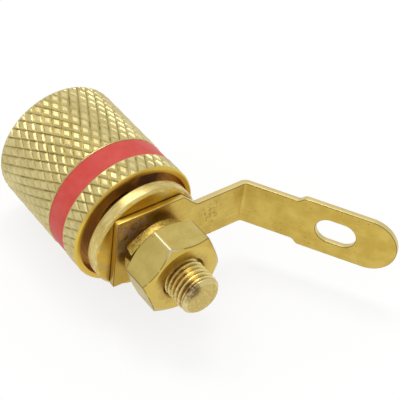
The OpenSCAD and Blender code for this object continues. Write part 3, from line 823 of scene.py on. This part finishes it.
def buildTag():
    thick, armHalf, headHalf, eyeHalf = tag["thick"], tag["armHalf"], tag["headHalf"], tag["eyeHalf"]
    bendRadius, bend = tag["bendRadius"], math.radians(tag["bendAngle"])
    setback = bendRadius * math.tan(bend / 2)
    bendStart = tag["armLength"] - setback
    bendLength = (bendRadius + thick / 2) * bend
    bendEnd = bendStart + bendLength

    def legAt(along):  # a place on the leg, on the flat blank
        return bendEnd + along - setback

    eyeEnd = legAt(tag["leg"] - eyeHalf)
    lower = soften([
        (-tag["headBack"], 0.0), (-tag["headBack"], -headHalf), (tag["headFront"], -headHalf),
        (tag["headFront"] + (headHalf - armHalf), -armHalf), (legAt(tag["neck"]), -armHalf),
        (legAt(tag["neck"] + (eyeHalf - armHalf)), -eyeHalf), (eyeEnd, -eyeHalf)], tag["corner"])[1:-1]
    outer = lower + arcPoints(eyeEnd, 0.0, eyeHalf, -90, 90, tag["endSteps"])
    outer += [(u, -v) for u, v in reversed(lower)]
    hole = arcPoints(0.0, 0.0, tag["hole"], 0, 360, tag["holeSteps"])[:-1]
    slot = (arcPoints(legAt(tag["slotTo"]), 0.0, tag["slotHalf"], -90, 90, tag["slotSteps"])
            + arcPoints(legAt(tag["slotFrom"]), 0.0, tag["slotHalf"], 90, 270, tag["slotSteps"]))
    bm = meshToEdit(flatBlank((outer, hole, slot)))
    bmesh.ops.remove_doubles(bm, verts=bm.verts, dist=tag["merge"])
    bm.normal_update()
    side = bm.verts.layers.float.new("side")  # 1 on the punched edges, 0 on the two faces
    for vert in bm.verts:
        vert[side] = 1.0 - abs(vert.normal.z)
    for i in range(tag["bendCuts"] + 1):
        cut = (bendStart + bendLength * i / tag["bendCuts"], 0, 0)
        everything = bm.verts[:] + bm.edges[:] + bm.faces[:]
        bmesh.ops.bisect_plane(bm, geom=everything, plane_co=cut, plane_no=(1, 0, 0), dist=tag["cutPlay"])
    for vert in bm.verts:  # blank to bent: u along the arm, v up, w off the flange
        u, v, w = vert.co.x, vert.co.y, vert.co.z + (thick + tag["backGap"]) / 2
        reach = bendRadius + thick - w
        turn = min(max((u - bendStart) / bendLength, 0.0), 1.0) * bend
        past = u - bendStart if u < bendStart else max(u - bendEnd, 0.0)
        along = bendStart + reach * math.sin(turn) + past * math.cos(turn)
        out = thick + bendRadius - reach * math.cos(turn) + past * math.sin(turn)
        vert.co = (-along * mm, out * mm, v * mm)
    mesh = finishMesh(bm, "solderTag", tag["sharp"])
    addPiece("solderTag", mesh, tagGold, "post", "solder_tag")


buildTag()


# spring washer: one turn of square wire, its low end bent away from the nut
washer = {
    "inner": 2.2, "outer": 3.4, "thick": 1.0, "rise": 0.35, "bend": 45.0, "gap": 12.0, "turn": 157.0,
    "place": 1.05, "drop": 0.15, "corner": 0.09, "cornerSteps": 4, "perTurn": 120, "sharp": 35,
    "bright": (0.53, 0.385, 0.085), "deep": (0.34, 0.215, 0.03), "marks": "turned", "markScale": 8.0,
    "markTone": 0.9, "markDepth": 1.2, "patchScale": 1.1, "speckFrom": 0.76, "speckShare": 0.6,
    "rough": 0.44, "bump": 0.8,
    "grainNoise": (5.5, 2.0, 0.6), "wireGlintSpan": (0.5, 0.6), "wireGlints": (0.55, (0.82, 0.68, 0.25))}


def washerTint(g, at, shade):  # painted glints on the drawn wire
    wireGlints = g.span(g.noise(at.place, *washer["grainNoise"]), *washer["wireGlintSpan"])
    return g.coat(shade, wireGlints, washer["wireGlints"]), 0.0, 0.0


washerGold = goldPlate("washerGold", washer, washerTint)


def washerTree():
    g, s = startTree("washer", {
        "Mean Radius": "Float", "Wire Width": "Float", "Wire Thickness": "Float", "Corner": "Float",
        "Corner Steps": "Int", "Rise": "Float", "Bend": "Float", "Sweep": "Float", "Turn": "Float",
        "Place": "Float", "Drop": "Float", "Per Turn": "Int", "Finish": "Material"})
    loop = g.node("GeometryNodeCurveSpiral", {}, {
        "Resolution": s["Per Turn"], "Rotations": s["Sweep"], "Start Radius": s["Mean Radius"],
        "End Radius": s["Mean Radius"], "Height": 0.0, "Reverse": False})
    part = g.node("GeometryNodeSplineParameter", out="Factor")
    bent = 1.0 - g.least(part * s["Sweep"] / s["Bend"], 1.0)  # 1 at the low end, 0 where the bend is over
    climb = g.vector(z=s["Rise"] * (1.0 - bent * bent))
    loop = g.node("GeometryNodeSetPosition", {}, {"Geometry": loop, "Offset": climb})
    upright = g.node("GeometryNodeSetCurveNormal", {"mode": "Z_UP"}, {"Curve": loop})
    wire = g.node("GeometryNodeCurvePrimitiveQuadrilateral", {"mode": "RECTANGLE"}, {
        "Width": s["Wire Width"], "Height": s["Wire Thickness"]})
    wire = g.node("GeometryNodeFilletCurve", {"mode": "POLY"}, {
        "Curve": wire, "Count": s["Corner Steps"], "Radius": s["Corner"], "Limit Radius": True})
    swept = g.node("GeometryNodeCurveToMesh", {}, {
        "Curve": upright, "Profile Curve": wire, "Fill Caps": True})
    twist = g.vector(z=s["Turn"])
    lift = g.vector(y=s["Drop"] * -1.0, z=s["Place"])
    hung = g.node("GeometryNodeTransform", {}, {"Geometry": swept, "Translation": lift, "Rotation": twist})
    placed = g.node("GeometryNodeTransform", {}, {"Geometry": hung, "Rotation": ontoAxis})
    endTree(g, placed, s["Finish"])
    return g


def buildWasher():
    inner, outer, thick = washer["inner"], washer["outer"], washer["thick"]
    mesh = runTree(washerTree(), {
        "Mean Radius": (inner + outer) / 2 * mm, "Wire Width": (outer - inner) * mm,
        "Wire Thickness": thick * mm, "Corner": washer["corner"] * mm,
        "Corner Steps": washer["cornerSteps"], "Rise": washer["rise"] * mm,
        "Bend": washer["bend"] / 360, "Sweep": 1 - washer["gap"] / 360, "Turn": math.radians(washer["turn"]),
        "Place": (washer["place"] + thick / 2) * mm, "Drop": washer["drop"] * mm,
        "Per Turn": washer["perTurn"], "Finish": washerGold})
    done = finishMesh(meshToEdit(mesh), "springWasher", washer["sharp"])
    addPiece("springWasher", done, washerGold, "washer", "spring_washer")


buildWasher()


# hex nut: six flats under two chamfer cones, all edges a little round
nut = {
    "acrossFlats": 7.45, "turn": 52.0, "faceShare": 0.94, "chamferAngle": 33.0, "hole": 2.03, "sink": 0.25,
    "cornerSoft": 0.15, "edgeSoft": 0.09, "holeSoft": 0.05, "faceInset": 0.12, "sharp": 60,
    "perFlat": 48, "chamferRows": 22, "middleRows": 6, "chamferReach": 0.62,
    "bright": (0.62, 0.49, 0.155), "deep": (0.54, 0.415, 0.11), "marks": "drawn", "markScale": 3.0,
    "markTone": 0.15, "markDepth": 0.3, "patchScale": 0.6, "speckFrom": 0.77, "speckShare": 0.45,
    "rough": 0.34, "bump": 0.35,
    "patchNoise": (2.0, 2.0, 0.5), "chamferSpan": (-0.03, -0.09), "chamferGold": (0.8, (0.69, 0.50, 0.105)),
    "darkeningPatch": 1.6, "darkeningSpan": (2.95, 2.3), "darkeningBorder": (-0.2, -0.4), "darkening": (0.55, (0.42, 0.25, 0.05)),
    # dark lines along the flats' ends and the lower corners, painted shade, and the upper corner painted pale
    # as a highlight, ragged like wear, with a painted vee on its chamfer
    "lineDrop": 0.06, "lineSpan": (0.06, 0.015), "linePatch": (0.36, 0.48), "cornerLine": (-0.12, -0.06),
    "shadeLine": (0.75, (0.17, 0.11, 0.04)), "litSlope": 0.5, "litSpan": (3.2, 4.0),
    "highlightRagged": 0.1, "highlightSpan": (-0.2, -0.06), "highlightPatch": (0.3, 0.5), "highlightShare": 0.5,
    "veeRagged": 0.5, "veeReach": (-0.95, -0.4), "veeIn": (-0.2, -0.1), "veeOut": (-0.015, -0.05),
    "veeShare": 0.75, "highlightPale": (0.72, 0.68, 0.57)}


# the turned faces are yellower than the six flats
def nutTint(g, at, shade):
    half = nut["acrossFlats"] / 2
    leans = [math.radians(nut["turn"] + 30 + 60 * k) for k in range(3)]
    a, b, c = (g.one("ABSOLUTE", at.x * -math.cos(lean) + at.z * math.sin(lean)) for lean in leans)
    reach = g.most(g.most(a, b), c)
    second = a + b + c - reach - g.least(g.least(a, b), c)
    flat = reach - half  # 0 on the flats, falling on the chamfers
    corner = second - half  # 0 along the six corners
    patch = g.noise(at.place, *nut["patchNoise"])
    ragged = patch - 0.5
    shade = g.coat(shade, g.span(flat, *nut["chamferSpan"]), nut["chamferGold"])
    # darker brown round the hole, ragged by the patch noise
    darkening = g.span(at.radius + ragged * nut["darkeningPatch"], *nut["darkeningSpan"]) * g.span(flat, *nut["darkeningBorder"])
    shade = g.coat(shade, darkening, nut["darkening"])
    # the upper side of the nut, where the light falls: no dark corner lines there, and the painted highlight
    wornAndLit = g.span(at.z + at.x * nut["litSlope"], *nut["litSpan"])
    # painted shade: dark lines along the flats' ends and the lower corners
    endLine = g.span(g.one("ABSOLUTE", flat + nut["lineDrop"]), *nut["lineSpan"])
    endLine = endLine * g.span(patch, *nut["linePatch"])
    shadeLine = g.most(endLine, g.span(corner, *nut["cornerLine"]) * (1.0 - wornAndLit))
    shade = g.coat(shade, shadeLine, nut["shadeLine"])
    # painted highlight: a pale ragged stripe along the upper corner, and a vee on its chamfer
    cornerHighlight = g.span(corner + ragged * nut["highlightRagged"], *nut["highlightSpan"]) * g.span(patch, *nut["highlightPatch"])
    vee = g.span(corner + ragged * nut["veeRagged"], *nut["veeReach"])
    vee = vee * g.span(flat, *nut["veeIn"]) * g.span(flat, *nut["veeOut"])
    pale = g.most(cornerHighlight * nut["highlightShare"], vee * nut["veeShare"]) * wornAndLit
    return g.blend(pale, shade, nut["highlightPale"]), 0.0, 0.0


nutGold = goldPlate("nutGold", nut, nutTint)


def softLeast(a, b, soft):
    share = min(max(0.5 + 0.5 * (b - a) / soft, 0.0), 1.0)
    return b + (a - b) * share - soft * share * (1 - share)


def buildNut():
    low, high = (corner.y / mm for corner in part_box("hex_nut"))
    half = nut["acrossFlats"] / 2
    faceRadius = half * nut["faceShare"]
    slope = math.tan(math.radians(nut["chamferAngle"]))
    count = 6 * nut["perFlat"]
    angles = [360 * i / count for i in range(count)]
    bm = bmesh.new()

    def outerRadius(degrees, y):
        off = (degrees - nut["turn"]) % 60 - 30  # from the middle of the nearest flat
        near = half / math.cos(math.radians(off))
        beside = half / math.cos(math.radians(60 - abs(off)))
        flat = softLeast(near, beside, nut["cornerSoft"])
        cone = faceRadius + min(y - low, high - y) / slope
        return softLeast(flat, cone, nut["edgeSoft"])

    def nutRing(radii, y):
        made = []
        for degrees, r in zip(angles, radii):
            turn = math.radians(degrees)
            made.append(bm.verts.new((-r * mm * math.cos(turn), y * mm, r * mm * math.sin(turn))))
        return made

    reach, rows, middle = nut["chamferReach"], nut["chamferRows"], nut["middleRows"]
    heights = [low + reach * i / rows for i in range(rows)]
    heights += [low + reach + (high - low - 2 * reach) * i / middle for i in range(middle)]
    heights += [high - reach + reach * i / rows for i in range(rows + 1)]
    rings = [nutRing([outerRadius(degrees, y) for degrees in angles], y) for y in heights]
    sink, hole, face = nut["sink"], nut["hole"], faceRadius - nut["faceInset"]
    inner = soften([(face, high), (hole + sink, high), (hole, high - sink),
                    (hole, low + sink), (hole + sink, low), (face, low)], nut["holeSoft"])
    rings += [nutRing([radius] * count, y) for radius, y in inner]
    for a, b in zip(rings, rings[1:] + rings[:1]):
        joinRings(bm, a, b)
    addPiece("hexNut", finishMesh(bm, "hexNut", nut["sharp"]), nutGold, "nut", "hex_nut")


buildNut()


# floor, light and camera
stage = {
    "floor": (0.92, 0.92, 0.92), "floorSize": 1.2, "white": (1.0, 1.0, 1.0), "world": 0.85, "seenShare": 0.78,
    "lamps": [
        {"name": "topBox", "from": (-0.18, -0.28, 0.94), "distance": 0.30, "size": 0.10, "power": 0.19},
        {"name": "backBox", "from": (0.12, -0.56, 0.82), "distance": 0.32, "size": 0.10, "power": 0.11},
        {"name": "frontBox", "from": (0.80, 0.45, 0.55), "distance": 0.36, "size": 0.16, "power": 0.045}],
    "cameraPlace": (52.831, 66.349, 83.675), "right": (-0.8038, 0.5863, 0.1008),
    "down": (0.342, 0.594, -0.7281), "forward": (-0.4867, -0.5508, -0.678),
    "lens": 117.1, "sensor": 36.0, "clip": (0.005, 10.0)}


def buildFloor():
    half, z = stage["floorSize"] / 2, cadBox[0][2]
    mesh = bpy.data.meshes.new("floor")
    corners = [(-half, -half, z), (half, -half, z), (half, half, z), (-half, half, z)]
    mesh.from_pydata(corners, [], [(0, 1, 2, 3)])
    floor = linkNew("floor", mesh)
    material, g = startMaterial("floorPaper")
    rays = ("Is Camera Ray", "Is Glossy Ray", "Is Transmission Ray")
    camera, glossy, through = (g.node("ShaderNodeLightPath", out=title) for title in rays)
    paper = g.node("ShaderNodeBsdfDiffuse", {}, {"Color": stage["floor"]})
    white = g.node("ShaderNodeEmission", {}, {"Color": stage["white"], "Strength": 1.0})
    seen = g.least(camera + glossy + through, 1.0) * stage["seenShare"]
    endMaterial(g, g.node("ShaderNodeMixShader", {}, {0: seen, 1: paper, 2: white}))
    mesh.materials.append(material)


def buildLights():
    world = bpy.data.worlds.new("studio")
    bpy.context.scene.world = world
    world.use_nodes = True
    back = world.node_tree.nodes["Background"]
    back.inputs["Color"].default_value = (*stage["white"], 1.0)
    back.inputs["Strength"].default_value = stage["world"]
    for lamp in stage["lamps"]:
        data = bpy.data.lights.new(lamp["name"], "AREA")
        data.shape = "DISK"
        data.size = lamp["size"]
        data.energy = lamp["power"]
        box = linkNew(lamp["name"], data)
        way = Vector(lamp["from"]).normalized()
        box.location = way * lamp["distance"]
        box.rotation_euler = way.to_track_quat("Z", "Y").to_euler()


def buildCamera():
    data = bpy.data.cameras.new("photoCamera")
    data.lens = stage["lens"]
    data.sensor_width = stage["sensor"]
    data.clip_start, data.clip_end = stage["clip"]
    camera = linkNew("photoCamera", data)
    right, down, forward = (Vector(stage[way]) for way in ("right", "down", "forward"))
    turn = Matrix((right, -down, -forward)).transposed()
    camera.matrix_world = Matrix.Translation(Vector(stage["cameraPlace"]) * mm) @ turn.to_4x4()
    bpy.context.scene.camera = camera
    bpy.context.scene.view_settings.view_transform = "Standard"


buildFloor()
buildLights()
buildCamera()
print("stage ready")
